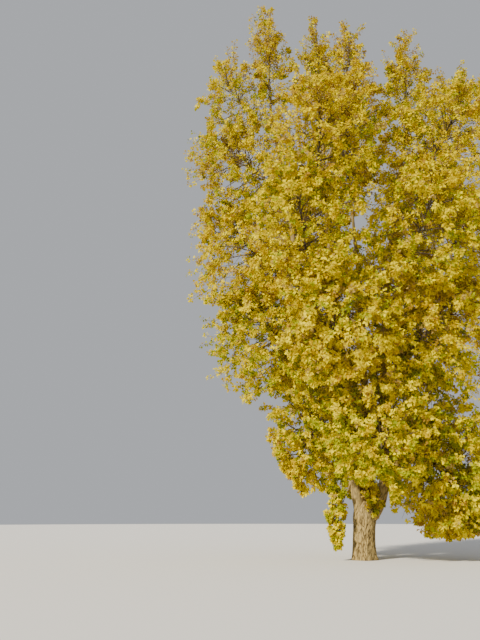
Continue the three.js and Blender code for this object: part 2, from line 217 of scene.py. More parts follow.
# Leaves: size, how they hang, where they are larger or smaller, and their corners, each with
# its share of the length, its share of the half width, and its rise above the midrib
LEAF_LENGTH = 0.109
LEAF_WIDTH = 0.86
LEAF_STALK = 0.035
LEAF_ALONG = 0.45
LEAF_OUT = 0.8
LEAF_DROP = (0, 0, 0.45)
STALK_ALONG = 0.5
STALK_DROP = (0, 0, 0.3)
FACE_OUT = 0.55
FACE_UP = (0, 0, 0.5)
POINT_SCATTER = 0.25
FACE_SCATTER = 0.62
TOP_LEAF_LOSS = 0.15
LOSS_HEIGHTS = (11, 20)
DENSE_BELOW = 10
INNER_LEAF_GAIN = 1.22
OUTER_DEPTH = 0.7
OUTER_AHEAD = -0.1
LEAF_TIP_DROP = 0.08
LEAF_CORNERS = {"inner": [(0.28, 1, 0.07)], "outer": [(0.12, 0.8, 0.05), (0.4, 1, 0.08)]}
LEAF_TOTAL = 285000
MOST_LEAVES = 48000
GOLDEN_TURN = math.pi * (3 - math.sqrt(5))

# Autumn tints, each a plain base colour, and each tint's share low, half way and high up
TINTS = {
    "gold": (0.68, 0.548, 0.0),
    "lemon": (0.88, 0.755, 0.0),
    "amber": (0.58, 0.41, 0.0),
    "tan": (0.48, 0.35, 0.1),
    "lime": (0.38, 0.4, 0.0),
    "olive": (0.25, 0.28, 0.01),
    "rust": (0.38, 0.23, 0.03),
}
TINT_SHARES = np.array([
    (0.32, 0.3, 0.09, 0.03, 0.17, 0.07, 0.02),
    (0.34, 0.28, 0.13, 0.07, 0.11, 0.04, 0.03),
    (0.27, 0.2, 0.17, 0.19, 0.06, 0.02, 0.09),
])
SPRAY_TINT_SHARE = 0.62

# Patches a few metres wide where the greener tints gather, and where the browner ones do
TINT_PATCH_TURNS = 1.15
TINT_PATCH_SHIFT = (0.7, 0.2, 0.4)
PATCH_EFFECT = np.array([0, 0.2, -0.6, -0.8, 1.6, 1.6, -1])

# Bark: plate width, how much longer than wide, the relief on the trunk, how far the trunk's
# bark rises over the leaders and in the crotch and covers them, and the rings of each shell
PLATE_WIDTH = 0.06
PLATE_STRETCH = 5.0
RELIEF_DEPTH = 0.02
FURROW_WIDTH = 0.085
PLATE_ROUGHNESS = 0.8
RELIEF_REST = 1.1
BARK_RISE = 0.34
CROTCH_RISE = 0.22
BARK_COVER = 0.008
BARK_SINK = 0.035
SEAM_WIDTH = 0.16
TRUNK_GRID = (230, 280)
LEADER_RINGS = 200
LEADER_BARK = dict(sides=36, relief=0.6, age=(0.05, 0.85), collar=-0.5)
BOUGH_RING_GAP = 0.09
BOUGH_BARK = dict(sides=20, relief=0.25, age=(0.5, 1.0), collar=0.5)
COLLAR_LENGTH = 0.16

# Bark and twig colours; patches and streaks have a scale, limits, and the most they cover
FURROW_COLOUR = (0.05, 0.034, 0.014, 1)
SLOPE_COLOUR = (0.17, 0.12, 0.045, 1)
PLATE_COLOUR = (0.43, 0.315, 0.12, 1)
WEATHERED_COLOUR = (0.4, 0.32, 0.145, 1)
WEATHERED_PATCHES = (2.2, (0.4, 0.68), 0.4)
STREAK_COLOUR = (0.13, 0.09, 0.04, 1)
STREAKS = (42, (0.44, 0.6), 0.6)
YOUNG_COLOUR = (0.31, 0.24, 0.11, 1)
TWIG_COLOURS = ((0.075, 0.055, 0.033, 1), (0.18, 0.14, 0.09, 1))

# Studio
FLOOR_COLOUR = (0.72, 0.71, 0.69, 1)
KEY_COLOUR = (1.0, 0.92, 0.76)
KEY_STRENGTH = 7.4
KEY_TILT = 58
KEY_TURN = -42
FILL_COLOUR = (0.86, 0.89, 0.94, 1)
FILL_STRENGTH = 0.54

# The points of every even line, and the share of it at each
SAMPLES = 241
EVEN = np.linspace(0, 1, SAMPLES)


def unit(vectors):
    """Vectors at length one."""
    length = np.linalg.norm(vectors, axis=-1, keepdims=True)
    return vectors / np.maximum(length, 1e-9)


def read_off(line, places, at):
    """Points of a line whose own points have these places along it."""
    return np.stack([np.interp(at, places, line[:, k]) for k in range(3)], axis=-1)


def evenly(points, count=SAMPLES):
    """The same line with its points evenly spaced."""
    steps = np.linalg.norm(np.diff(points, axis=0), axis=1)
    lengths = np.concatenate([[0], np.cumsum(steps)])
    return read_off(points, lengths, np.linspace(0, lengths[-1], count))


def bezier(*corners):
    """An even line on the Bezier curve of these corners."""
    t = EVEN[:, None]
    levels = [np.asarray(corner, float)[None] for corner in corners]
    while len(levels) > 1:
        levels = [(1 - t) * a + t * b for a, b in zip(levels, levels[1:])]
    return evenly(levels[0])


def centripetal(points):
    """An even line on the centripetal spline through these points."""
    p = [np.asarray(point, float) for point in points]
    p = [2 * p[0] - p[1], *p, 2 * p[-1] - p[-2]]
    t = EVEN[:, None]
    pieces = []
    for a, b, c, d in zip(p, p[1:], p[2:], p[3:]):
        ab, bc, cd = (math.sqrt(np.linalg.norm(v)) for v in (b - a, c - b, d - c))
        leave = ((b - a) / ab - (c - a) / (ab + bc) + (c - b) / bc) * bc
        arrive = ((c - b) / bc - (d - b) / (bc + cd) + (d - c) / cd) * bc
        square = 3 * (c - b) - 2 * leave - arrive
        cube = 2 * (b - c) + leave + arrive
        pieces.append(b + leave * t + square * t**2 + cube * t**3)
    return evenly(np.concatenate(pieces))


def along(line, share):
    """The points at these shares of one even line."""
    return read_off(line, np.arange(len(line)), np.clip(share, 0, 1) * (len(line) - 1))


def heading(line, share):
    """The way an even line runs at these shares."""
    return unit(along(line, share + 0.005) - along(line, share - 0.005))


def share_at(line, height):
    """The share of a rising line at which it reaches a height."""
    return np.interp(height, line[:, 2], EVEN)


def limb(line, radii):
    """A limb: its line, its radius along it, and its length."""
    return dict(line=line, radii=radii, length=np.linalg.norm(np.diff(line, axis=0), axis=1).sum())


def smoothstep(x, low, high):
    s = np.clip((x - low) / (high - low), 0, 1)
    return s * s * (3 - 2 * s)


def grow_leaders():
    """Every leader, from inside the trunk up to its spire."""
    leaders = {}
    for name, (turn, radius, way) in LEADERS.items():
        a = math.radians(turn)
        across, back = LEADER_ROOT_OFFSET * math.cos(a), LEADER_ROOT_OFFSET * math.sin(a)
        line = centripetal([(TRUNK_LEAN + across, back, LEADER_ROOT_HEIGHT), *way])
        leaders[name] = limb(line, radius + (LEADER_TIP_RADIUS - radius) * EVEN**0.8)
    return leaders


def place_masses():
    """Every mass with its middle, half sizes and the walls between it and the others."""
    masses = []
    for tier_name, tier in TIERS.items():
        step = tier.get("step", 360 / tier["count"])
        for i in range(tier["count"]):
            a = math.radians(FIRST_TURN + step * i)
            middle = (
                CROWN_MIDDLE[0] + tier["ring"][0] * math.cos(a),
                CROWN_MIDDLE[1] + tier["ring"][1] * math.sin(a),
                tier["height"] + tier["lift"] * abs(math.cos(a)) - tier.get("tilt", 0) * math.cos(a),
            )
            masses.append({**tier, "name": f"{tier_name}_{i + 1}", "middle": middle})
    masses += [{**single, "name": name} for name, single in SINGLES.items()]
    for mass in masses:
        mass["middle"] = np.array(mass["middle"], float)
        mass["halves"] = np.array(mass["half"])[[0, 0, 1]]
        mass["away"] = np.append(mass["middle"][:2] - CROWN_MIDDLE, 0.0)
    for mass in masses:
        normals, limits = [], []
        for other in masses:
            if other is mass:
                continue
            between = other["middle"] - mass["middle"]
            direction = unit(between)
            mine, theirs = reach_towards(mass, direction), reach_towards(other, direction)
            wall = mass["middle"] + between * mine / (mine + theirs)
            normals.append(direction)
            limits.append(wall @ direction - SPACE_GAP)
        mass["normals"], mass["limits"] = np.array(normals), np.array(limits)
    return masses


def reach_towards(mass, direction):
    """How far the mass's ellipsoid reaches from its middle in a direction."""
    level = math.hypot(direction[0], direction[1]) / mass["half"][0]
    return 1 / math.hypot(level, direction[2] / mass["half"][1])


def inside(mass, points, margin=0.0):
    """Which points lie in the mass's space, at least the margin from its edge."""
    offset = points - mass["middle"]
    sag = np.where(offset[..., 2] < 0, mass.get("sag", 0), 0)
    level = offset[..., 2] / (mass["half"][1] + sag - margin)
    width = mass["half"][0] * np.sqrt(np.clip(1 - level**2, 0, None)) * (1 - mass["point"] * level)
    fits = (np.abs(level) < 1) & (np.hypot(offset[..., 0], offset[..., 1]) <= width - margin)
    if mass["name"].startswith("low"):
        fits &= ~in_fork_opening(points)
    return fits & (points @ mass["normals"].T <= mass["limits"] - margin).all(-1)


def in_fork_opening(points):
    """Which points lie in the opening in front of the fork, which runs forward and to the left."""
    x, y, z = np.moveaxis(points, -1, 0)
    middle = OPENING_MIDDLE + OPENING_SLANT * y
    ragged = sum(size * np.sin(turns * x + shift) for size, turns, shift in OPENING_WAVES)
    top = OPENING_TOP + OPENING_SLOPE * y + ragged
    return (np.abs(x - middle) < OPENING_HALF) & (y < OPENING_BACK) & (z < top)


def distance_to_edge(mass, starts, directions):
    """How far straight lines run from their starts to the edge of the mass's space."""
    near = np.zeros(len(starts))
    far = np.full(len(starts), 2 * max(mass["half"]))
    for _ in range(15):
        middle = (near + far) / 2
        fits = inside(mass, starts + directions * middle[:, None])
        near = np.where(fits, middle, near)
        far = np.where(fits, far, middle)
    return near


def edge_points(mass, directions):
    """Where lines from the middle of the mass meet the edge of its space."""
    scaled = unit(directions * mass["halves"])
    starts = np.repeat(mass["middle"][None], len(scaled), axis=0)
    return starts + scaled * distance_to_edge(mass, starts, scaled)[:, None]


def grow_bough(mass, leaders):
    """The bough that carries a mass: from the leader nearest to it, out and up."""
    middle, runs = mass["middle"], {}
    for name, leader in leaders.items():
        level = along(leader["line"], share_at(leader["line"], middle[2]))
        runs[name] = math.hypot(*(middle - level)[:2])
    nearest = min(runs, key=runs.get)
    line, radii = leaders[nearest]["line"], leaders[nearest]["radii"]
    share = share_at(line, max(LEAST_START_HEIGHT, middle[2] - mass["climb"] * runs[nearest]))
    start = along(line, share)
    inwards = unit(start - middle)
    back = distance_to_edge(mass, middle[None], inwards[None])[0]
    entry = middle + inwards * min(back, ENTRY_SHARE * np.linalg.norm(middle - start))
    bend = start + (entry - start) * BOUGH_BEND
    room = np.interp(share, EVEN, radii) * BOUGH_TO_LEADER
    radius = min(room, BOUGH_RADIUS_SHARE * mass["half"][0])
    return limb(bezier(start, bend, entry), radius * np.linspace(1, BOUGH_TIP_SHARE, SAMPLES))


def grow_stem(mass):
    """The mass's stem: on from the end of its bough or leader, to the far side of its space."""
    carrier = mass["carrier"]["line"]
    start, arrival = carrier[-1], heading(carrier, np.array(1.0))
    outwards = unit(mass["away"]) * (0 if mass.get("leader") else STEM_SPREAD)
    outwards[2] = -1 if mass.get("hangs") else 1
    outwards = unit(outwards)
    tip = edge_points(mass, outwards[None])[0] - outwards * EDGE_ROOM * 1.5
    lead = start + arrival * STEM_BEND * np.linalg.norm(tip - start)
    bend = mass["middle"] + (start - mass["middle"]) * STEM_BEND
    return bezier(start, lead, bend, tip)


def even_directions(count, first_turn):
    """Directions spread evenly over a sphere."""
    i = np.arange(count)
    height = 1 - (2 * i + 1) / count
    level = np.sqrt(1 - height**2)
    turn = first_turn + GOLDEN_TURN * i
    return np.stack([level * np.cos(turn), level * np.sin(turn), height], axis=1)


def bent(starts, bends, ends, count):
    """Curves from starts to ends, drawn towards their bends: (n, count, 3)."""
    t = np.linspace(0, 1, count)[None, :, None]
    return (1 - t) ** 2 * starts[:, None] + 2 * t * (1 - t) * bends[:, None] + t**2 * ends[:, None]


def on_lines(lines, shares):
    """Points and headings at shares (n, m) of many lines (n, k, 3)."""
    last = lines.shape[1] - 1
    at = np.clip(shares, 0, 1) * last
    low = np.minimum(at.astype(int), last - 1)
    rows = np.arange(len(lines))[:, None]
    a, b = lines[rows, low], lines[rows, low + 1]
    return a + (b - a) * (at - low)[..., None], unit(b - a)


def golden_turns(tangents, lean, random):
    """Directions square to the lines, by the golden angle round from each place to the next."""
    turn = random.uniform(0, 2 * math.pi, (len(tangents), 1)) + GOLDEN_TURN * np.arange(tangents.shape[1])
    across = unit(np.cross(tangents, lean))
    beside = np.cross(tangents, across)
    return across * np.cos(turn)[..., None] + beside * np.sin(turn)[..., None]


def grow_main_twigs(mass, stem, random):
    """A twig from the stem to each part of the edge of the space."""
    size = mass["half"][0] * mass["half"][1]
    count = round(max(LEAST_MAIN_TWIGS, MAIN_TWIGS_PER_SIZE * size) * mass.get("full", 1))
    first_turn = math.atan2(mass["away"][1], mass["away"][0]) - GOLDEN_TURN * (count // 2)
    targets = edge_points(mass, even_directions(count, first_turn))
    chord = stem[-1] - stem[0]
    level = (targets - stem[0]) @ chord / (chord @ chord)
    shares = np.clip(0.6 * level + 0.08 + random.uniform(-0.05, 0.05, count), *MAIN_TWIG_ROOTS)
    starts, tangents = along(stem, shares), heading(stem, shares)
    reach = np.linalg.norm(targets - starts, axis=1)
    keep = reach > LEAST_MAIN_TWIG_LENGTH
    starts, tangents, targets, reach = starts[keep], tangents[keep], targets[keep], reach[keep]
    extent = random.uniform(LEAST_REACH, 1, len(reach)) * (1 - EDGE_ROOM / reach)
    ends = starts + (targets - starts) * extent[:, None]
    middles = (starts + ends) / 2
    sideways = unit(np.cross(ends - starts, [0, 0, 1]))
    sway = sideways * (random.uniform(-MAIN_TWIG_SWAY, MAIN_TWIG_SWAY, len(reach)) * reach)[:, None]
    bends = middles + tangents * (MAIN_TWIG_BEND * reach)[:, None] + sway
    bends = np.where(inside(mass, bends, 0.05)[:, None], bends, middles)
    return bent(starts, bends, ends, MAIN_TWIG_POINTS)


def grow_sides(mass, parents, order, rise, random):
    """Twigs of one order on all sides of their parents, and which parent each belongs to."""
    count = order["count"]
    shares = np.linspace(*order["span"], count)[None]
    shares = np.clip(shares + random.uniform(-0.04, 0.04, (len(parents), count)), 0, 1)
    starts, tangents = on_lines(parents, shares)
    out = golden_turns(tangents, (0.12, 0.07, 1.0), random)
    spread = np.radians(order["angle"]) * (1.1 - 0.45 * shares) * random.uniform(0.8, 1.2, shares.shape)
    directions = tangents * np.cos(spread)[..., None] + out * np.sin(spread)[..., None]
    parent_length = np.linalg.norm(parents[:, -1] - parents[:, 0], axis=1)[:, None]
    lengths = np.minimum(order["longest"], parent_length * order["of_parent"] * (1.15 - 0.6 * shares))
    lengths = (lengths * random.uniform(0.7, 1.2, shares.shape)).ravel()
    starts, directions = starts.reshape(-1, 3), directions.reshape(-1, 3)
    if mass:
        lengths = np.minimum(lengths, distance_to_edge(mass, starts, directions) - EDGE_ROOM)
    keep = lengths > order["least"]
    owner = np.repeat(np.arange(len(parents)), count)[keep]
    starts, directions, lengths = starts[keep], directions[keep], lengths[keep]
    straight = starts + directions * lengths[:, None]
    ends = straight + (rise * lengths)[:, None] * (0, 0, 1)
    if mass:
        ends = np.where(inside(mass, ends, EDGE_ROOM * 0.8)[:, None], ends, straight)
    bends = starts + directions * (0.55 * lengths)[:, None]
    return bent(starts, bends, ends, order["points"]), owner


def grow_limb_twiglets(limbs, random):
    """Twiglets straight from the limbs, where these run inside the crown."""
    lines = []
    for each in limbs:
        shares = random.uniform(0.0, 0.99, round(each["length"] * LIMB_TWIGLETS))
        starts, tangents = along(each["line"], shares), heading(each["line"], shares)
        high = starts[:, 2] > LOWEST_LIMB_TWIGLET
        starts, tangents = starts[high], tangents[high]
        away = random.normal(0, 1, starts.shape)
        away = unit(away - tangents * (away * tangents).sum(1, keepdims=True))
        lengths = random.uniform(*LIMB_TWIGLET_LENGTHS, len(starts))[:, None]
        bends = starts + (away + 0.3 * tangents) * lengths * 0.5
        ends = starts + (away + 0.3 * tangents + (0, 0, 0.15)) * lengths
        lines.append(bent(starts, bends, ends, TWIGLETS["points"]))
    return np.concatenate(lines)


def leaf_roots(lines, first_share, count, random):
    """Where the leaves along each line sit, which way they point, and which way they face."""
    shares = np.linspace(first_share, 1.0, count)[None] + random.uniform(-0.05, 0.05, (len(lines), 1))
    roots, tangents = on_lines(lines, shares)
    out = golden_turns(tangents, (0.1, 0.05, 1.0), random)
    scatter = random.normal(0, POINT_SCATTER, roots.shape)
    pointing = unit(tangents * LEAF_ALONG + out * LEAF_OUT - LEAF_DROP + scatter)
    stalk = LEAF_STALK * unit(out + tangents * STALK_ALONG - STALK_DROP)
    outwards = (roots - (*CROWN_MIDDLE, 0)) * (1, 1, 0)
    facing = unit(outwards) * FACE_OUT + FACE_UP + random.normal(0, FACE_SCATTER, roots.shape)
    facing = facing - pointing * (facing * pointing).sum(-1, keepdims=True)
    return roots + stalk, pointing, unit(facing)


def clear_of_limbs(points, limbs, margin):
    """Which points stand clear of every limb."""
    clear = np.ones(len(points), bool)
    low, high = points.min(0), points.max(0)
    for each in limbs:
        centres, radii = each["line"][::3], each["radii"][::3] + margin
        near = ((centres > low - 0.5) & (centres < high + 0.5)).all(1)
        for centre, radius in zip(centres[near], radii[near]):
            clear &= ((points - centre) ** 2).sum(1) > radius**2
    return clear


def depth_share(mass, points):
    """How far out points lie: 0 at the middle of the mass, 1 at its round edge."""
    return np.linalg.norm((points - mass["middle"]) / mass["halves"], axis=1)


def ahead_share(mass, points):
    """How far points lie on the mass's outer side: -1 towards the crown's axis, 1 away from it."""
    return (points[:, :2] - mass["middle"][:2]) @ unit(mass["away"])[:2] / mass["half"][0]


def leafiness(mass, points):
    """The share of twigs in leaf: most on the outer side, fewer within and in the topmost tips."""
    least = SPIRE_CORE_LEAFINESS if mass.get("leader") else CORE_LEAFINESS
    start, gain = LEAFINESS_BY_DEPTH
    share = np.clip(start + gain * (depth_share(mass, points) - start), least, 1)
    if not mass.get("leader"):
        start, gain = LEAFINESS_AHEAD
        share = share * np.clip(start + gain * ahead_share(mass, points), INNER_LEAFINESS, 1)
    if mass["middle"][2] > THIN_ABOVE:
        level = (points[:, 2] - mass["middle"][2]) / mass["half"][1]
        share = share * (1 - TOP_THINNING * np.clip(level, 0, 1))
    return share


def stand_out(mass, leaves):
    """Which leaves stand on the outer side of the mass, and so of the crown."""
    if mass.get("alone"):
        return np.ones(len(leaves), bool)
    outside = depth_share(mass, leaves[:, :3]) > OUTER_DEPTH
    return outside if mass.get("leader") else outside & (ahead_share(mass, leaves[:, :3]) > OUTER_AHEAD)


def tint_of(points, random, greener):
    """A tint for each spray, dealt out by its height in the crown and in patches."""
    height = np.clip((points[:, 2] - 3) / 18, 0, 1)[:, None]
    low, middle, high = TINT_SHARES
    lower = low + (middle - low) * np.clip(height * 2, 0, 1)
    shares = lower + (high - middle) * np.clip(height * 2 - 1, 0, 1) ** 1.5
    x, y, z = (points + TINT_PATCH_SHIFT).T * TINT_PATCH_TURNS
    patch = (np.sin(x + 0.6 * y) * np.sin(z + 0.4 * x) + np.sin(y - 0.5 * z))[:, None] / 2 + greener
    shares = np.maximum(shares * (1 + patch * PATCH_EFFECT), 0)
    steps = np.cumsum(shares / shares.sum(1, keepdims=True), axis=1)
    return (random.uniform(0, 1, (len(points), 1)) > steps[:, :-1]).sum(1)


def grow_leaves(lines, spray_places, on_each, random, greener=0.0):
    """The leaves along the lines: root, pointing, facing, size and tint of each."""
    spray_tint = tint_of(spray_places, random, greener)
    own_tint = tint_of(lines[:, -1], random, greener)
    tint = np.where(random.uniform(0, 1, len(lines)) < SPRAY_TINT_SHARE, spray_tint, own_tint)
    roots, pointing, facing = leaf_roots(lines, *on_each, random)
    size = LEAF_LENGTH * random.uniform(0.75, 1.25, roots.shape[:2])
    size = size * (1 - TOP_LEAF_LOSS * smoothstep(roots[..., 2], *LOSS_HEIGHTS))
    columns = [values.reshape(-1, 3) for values in (roots, pointing, facing)]
    return np.column_stack([*columns, size.ravel(), np.repeat(tint, on_each[1])])


def grow_free_shoots(bearers, order, twigs, random, limbs=()):
    """Shoots outside the masses on all sides of their bearers, and the leaves on them."""
    shoots, owner = grow_sides(None, bearers, order, order["rise"], random)
    keep = clear_of_limbs(shoots[:, -1], limbs, SHOOT_ROOM)
    shoots, owner = shoots[keep], owner[keep]
    twigs["shoot"].append(shoots)
    tint_places = bearers[owner, -1] + (0, 0, order.get("tint_rise", 0))
    return grow_leaves(shoots, tint_places, order["leaves"], random)


def grow_mass(mass, limbs, limb_twiglets, twigs, random):
    """One mass of foliage on its stem: adds its twigs to the lists, and gives its leaves."""
    stem = grow_stem(mass)
    rise = HANGING_RISE if mass.get("hangs") else np.interp(mass["middle"][2], RISE_HEIGHTS, RISES)
    main = grow_main_twigs(mass, stem, random)
    stem_parts = [along(stem, np.linspace(*part, MAIN_TWIG_POINTS)) for part in STEM_PARTS]
    twiglets, _ = grow_sides(mass, np.concatenate([main, stem_parts]), TWIGLETS, rise, random)
    twiglets = twiglets[clear_of_limbs(twiglets[:, -1], limbs, TWIGLET_ROOM)]
    twiglets = np.concatenate([twiglets, limb_twiglets[inside(mass, limb_twiglets[:, -1])]])
    bearers = np.concatenate([twiglets, main[:, -TWIGLETS["points"] :]])
    shoots, owner = grow_sides(mass, bearers, SHOOTS, rise, random)
    chance = SHOOT_SHARE * leafiness(mass, shoots[:, -1])
    keep = clear_of_limbs(shoots[:, -1], limbs, SHOOT_ROOM) & (random.uniform(0, 1, len(shoots)) < chance)
    shoots, owner = shoots[keep], owner[keep]
    grown = {"stem": (stem, mass["carrier"]["radii"][-1]), "main": main, "twiglet": twiglets, "shoot": shoots}
    for order, lines in grown.items():
        twigs[order].append(lines)
    leafy = bearers[random.uniform(0, 1, len(bearers)) < leafiness(mass, bearers[:, -1])]
    greener = mass.get("greener", 0)
    leaves = np.concatenate([
        grow_leaves(shoots, bearers[owner, -1], SHOOTS["leaves"], random, greener),
        grow_leaves(leafy, leafy[:, -1], TWIGLETS["leaves"], random, greener),
    ])
    tips = leaves[:, :3] + leaves[:, 3:6] * leaves[:, 9:10]
    leaves = leaves[inside(mass, tips, -0.01)]
    if mass.get("wands", True):
        leaves = np.concatenate([leaves, grow_wands(mass, stem, twigs, random)])
    outer = stand_out(mass, leaves)
    if mass["middle"][2] < DENSE_BELOW:
        leaves[:, 9] *= np.where(outer, 1, INNER_LEAF_GAIN)
    return np.column_stack([leaves, outer])


def grow_wands(mass, stem, twigs, random):
    """Thin shoots from the stem to a little beyond the mass's space, with sparse leaves."""
    at_top = mass["middle"][2] > THIN_ABOVE
    kind = TOP_WANDS if at_top else SIDE_WANDS
    count = kind["count"]
    starts = along(stem, random.uniform(*kind["roots"], count))
    if at_top:
        lean = random.normal(0, kind["spread"], (count, 2))
        directions = unit(np.column_stack([lean, np.ones(count)]))
    else:
        outwards = unit(mass["away"]) + (0, 0, SIDE_WAND_CLIMB)
        directions = unit(outwards + random.normal(0, kind["spread"], (count, 3)))
    beyond = random.uniform(LEAST_WAND_REACH, kind["reach"], count)
    lengths = distance_to_edge(mass, starts, directions) + beyond
    ends = np.clip(starts + directions * lengths[:, None], -WAND_LIMITS, WAND_LIMITS)
    bends = (starts + ends) / 2 + random.normal(0, WAND_SWAY, ends.shape)
    wands = bent(starts, bends, ends, kind["points"])
    twigs["twiglet"].append(wands[:, :: kind["points"] // 3])
    return grow_free_shoots(wands, kind["shoots"], twigs, random)


def grow_sprouts(leaders, random):
    """Short sprouts between the left and right leaders, and on the trunk's shoulder."""
    heights = random.uniform(*SPROUT_HEIGHTS, SPROUTS)
    lines = [leaders[name]["line"] for name in ("left", "right")]
    left, right = (along(line, share_at(line, heights)) for line in lines)
    share = random.uniform(*SPROUT_SHARES, SPROUTS)[:, None]
    ends = left + (right - left) * share + random.uniform(*SPROUT_REACHES, (SPROUTS, 3))
    starts = np.where(share < 0.5, left, right) - SPROUT_FOOT
    sprouts = bent(starts, (starts + ends) / 2 + SPROUT_SAG, ends, TWIGLETS["points"])
    starts = np.repeat([SHOULDER_PLACE], SHOULDER_SPROUTS, axis=0)
    ends = starts + random.uniform(*SHOULDER_REACHES, starts.shape)
    below = bent(starts, (starts + ends) / 2 + SHOULDER_ARCH, ends, TWIGLETS["points"])
    return np.concatenate([sprouts, below])


def grow_foliage(masses, leaders, limbs):
    """All the twigs by order, and all the leaves."""
    random = np.random.default_rng(SEED)
    twigs = {"stem": [], "main": [], "twiglet": [], "shoot": []}
    spires = [limb(grow_stem(mass), None) for mass in masses if mass.get("leader")]
    limb_twiglets = grow_limb_twiglets([*limbs, *spires], random)
    between = ~np.any([inside(mass, limb_twiglets[:, -1]) for mass in masses], axis=0)
    leaves = []
    for lines, order, near, outer in (
        (grow_sprouts(leaders, random), SPROUT_SHOOTS, (), 1),
        (limb_twiglets[between], SHOOTS_BETWEEN, limbs, 0),
    ):
        twigs["twiglet"].append(lines)
        grown = grow_free_shoots(lines, order, twigs, random, near)
        leaves.append(np.column_stack([grown, np.full(len(grown), outer)]))
    for k, mass in enumerate(masses):
        own_random = np.random.default_rng(SEED + 97 * k)
        leaves.append(grow_mass(mass, limbs, limb_twiglets, twigs, own_random))
    leaves = np.concatenate(leaves)
    chosen = random.permutation(len(leaves))[:LEAF_TOTAL]
    return twigs, leaves[np.sort(chosen)]


def new_mesh(name, points, values, edges=(), faces=()):
    """A smooth mesh with the named values at each of its points."""
    mesh = bpy.data.meshes.new(name)
    mesh.from_pydata(points, edges, faces, shade_flat=False)
    for key, numbers in values.items():
        kind, field = ("FLOAT", "value") if numbers.ndim == 1 else ("FLOAT_VECTOR", "vector")
        attribute = mesh.attributes.new(key, kind, "POINT")
        attribute.data.foreach_set(field, numbers.astype(np.float32).ravel())
    return mesh


def link(data):
    """A new object in the scene with this data and its name."""
    holder = bpy.data.objects.new(data.name, data)
    bpy.context.collection.objects.link(holder)
    return holder


def add_node(tree, kind, inputs=None, output=0, **settings):
    """Adds a node whose inputs take values or other nodes' outputs, and gives its output."""
    node = tree.nodes.new(kind)
    for key, value in settings.items():
        setattr(node, key, value)
    for key, value in (inputs or {}).items():
        if isinstance(value, bpy.types.NodeSocket):
            tree.links.new(value, node.inputs[key])
        else:
            node.inputs[key].default_value = value
    return node.outputs[output]


def named(tree, name, kind="FLOAT"):
    """The named value that each point of the geometry has."""
    return add_node(tree, "GeometryNodeInputNamedAttribute", {"Name": name}, "Attribute", data_type=kind)


def noise(tree, place, scale, detail, distortion=0.0):
    inputs = {"Vector": place, "Scale": scale, "Detail": detail, "Distortion": distortion}
    return add_node(tree, "ShaderNodeTexNoise", inputs)


def sums(tree, operation, *values):
    """The result of one sum on these values."""
    return add_node(tree, "ShaderNodeMath", dict(enumerate(values)), operation=operation)


def new_tree(name, **inputs):
    """A geometry tree, and the sockets of what it takes: geometry, these inputs, a material."""
    tree = bpy.data.node_groups.new(name, "GeometryNodeTree")
    for label, kind in {"Geometry": "Geometry", **inputs, "Material": "Material"}.items():
        tree.interface.new_socket(label, in_out="INPUT", socket_type=f"NodeSocket{kind}")
    tree.interface.new_socket("Geometry", in_out="OUTPUT", socket_type="NodeSocketGeometry")
    return tree, tree.nodes.new("NodeGroupInput").outputs


def close_tree(tree, given, geometry):
    """Ends a tree in Realize Instances and Set Material."""
    real = add_node(tree, "GeometryNodeRealizeInstances", {"Geometry": geometry})
    inputs = {"Geometry": real, "Material": given["Material"]}
    dressed = add_node(tree, "GeometryNodeSetMaterial", inputs)
    tree.links.new(dressed, tree.nodes.new("NodeGroupOutput").inputs["Geometry"])
    return tree


def settle(mesh, tree, values):
    """Runs the tree on the mesh and leaves a plain mesh in an object of the same name."""
    name, holder = mesh.name, link(mesh)
    modifier = holder.modifiers.new(tree.name, "NODES")
    modifier.node_group = tree
    for item in tree.interface.items_tree:
        if item.in_out == "INPUT" and item.name in values:
            modifier[item.identifier] = values[item.name]
    bpy.context.view_layer.update()
    depsgraph = bpy.context.evaluated_depsgraph_get()
    settled = bpy.data.meshes.new_from_object(holder.evaluated_get(depsgraph), depsgraph=depsgraph)
    bpy.data.objects.remove(holder)
    bpy.data.meshes.remove(mesh)
    settled.name = name
    return link(settled)


def tube_tree():
    """Sweeps a round section of a few sides along each line, at the line's own radius."""
    tree, given = new_tree("twig tubes", Sides="Int")
    curves = add_node(tree, "GeometryNodeMeshToCurve", {"Mesh": given["Geometry"]})
    inputs = {"Radius": 1.0, "Resolution": given["Sides"]}
    section = add_node(tree, "GeometryNodeCurvePrimitiveCircle", inputs)
    inputs = {"Curve": curves, "Profile Curve": section, "Scale": named(tree, "radius"), "Fill Caps": True}
    return close_tree(tree, given, add_node(tree, "GeometryNodeCurveToMesh", inputs))


def leaf_tree():
    """Sets one leaf on each point, pointing and facing as the point says."""
    tree, given = new_tree("leaf sprays", Leaf="Object")
    leaf = add_node(tree, "GeometryNodeObjectInfo", {"Object": given["Leaf"]}, "Geometry")
    inputs = {"Vector": named(tree, "pointing", "FLOAT_VECTOR")}
    turned = add_node(tree, "FunctionNodeAlignRotationToVector", inputs, axis="X")
    inputs = {"Rotation": turned, "Vector": named(tree, "facing", "FLOAT_VECTOR")}
    turned = add_node(tree, "FunctionNodeAlignRotationToVector", inputs, axis="Z", pivot_axis="X")
    inputs = {"Points": given["Geometry"], "Instance": leaf, "Rotation": turned, "Scale": named(tree, "size")}
    return close_tree(tree, given, add_node(tree, "GeometryNodeInstanceOnPoints", inputs))


